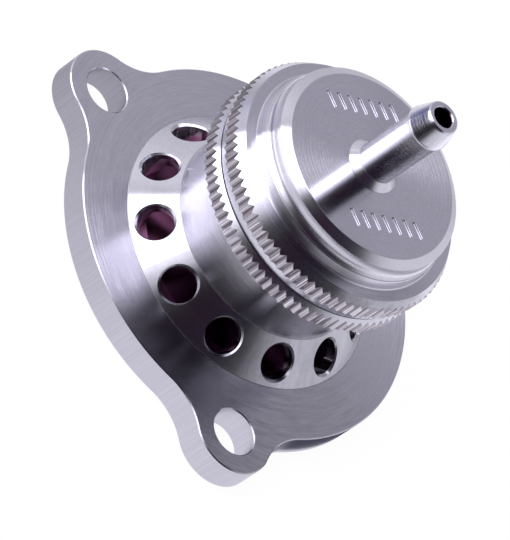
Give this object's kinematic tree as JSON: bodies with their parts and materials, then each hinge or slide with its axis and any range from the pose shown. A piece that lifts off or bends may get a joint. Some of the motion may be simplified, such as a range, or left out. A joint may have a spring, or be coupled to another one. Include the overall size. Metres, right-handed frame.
{
  "type": "blow off valve",
  "caption": "Piston blow off valve with a drilled vent cone, an eared bolt-down flange, a knurled screw cap and a barbed hose nipple on its top.",
  "frame": {"origin": "centre of the flange's underside, on the axis of the bolt circle", "axes": "+Z along the piston's axis from the flange towards the hose nipple, +Y towards one of the three bolt ears"},
  "size_m": [0.0624, 0.0627, 0.0457],
  "materials": {
    "turned_aluminium": "turned and polished, uncoated",
    "nipple_metal": "turned, bright",
    "seat_aluminium": "turned, satin",
    "piston_aluminium": "hard anodised, satin",
    "steel": "plain bright",
    "spring_steel": "drawn wire",
    "black_rubber": "matte",
    "guide_plastic": "matte, self-lubricating"
  },
  "bodies": {
    "housing": {"valve_body": "turned_aluminium", "valve_seat": "seat_aluminium", "seat_o_ring": "black_rubber", "flange_o_ring": "black_rubber", "cap": "turned_aluminium", "cap_o_ring": "black_rubber", "hose_nipple": "nipple_metal", "nipple_o_ring": "black_rubber", "spring_guide": "guide_plastic", "bump_stop": "black_rubber", "return_spring": "spring_steel"},
    "piston_assembly": {"piston": "piston_aluminium", "piston_guide_band": "guide_plastic", "piston_o_ring_lower": "black_rubber", "piston_o_ring_upper": "black_rubber", "nose_seal": "black_rubber", "seal_retainer": "steel", "retainer_screw": "steel", "preload_shim_lower": "steel", "preload_shim_upper": "steel"}
  },
  "joints": [
    {"name": "piston_slide", "type": "slide", "parent": "housing", "child": "piston_assembly", "axis": [0, 0, 1], "range_m": [0, 0.007], "stiffness_N_per_m": 2400, "springref_m": -0.0085, "deforming": ["return_spring"]}
  ]
}
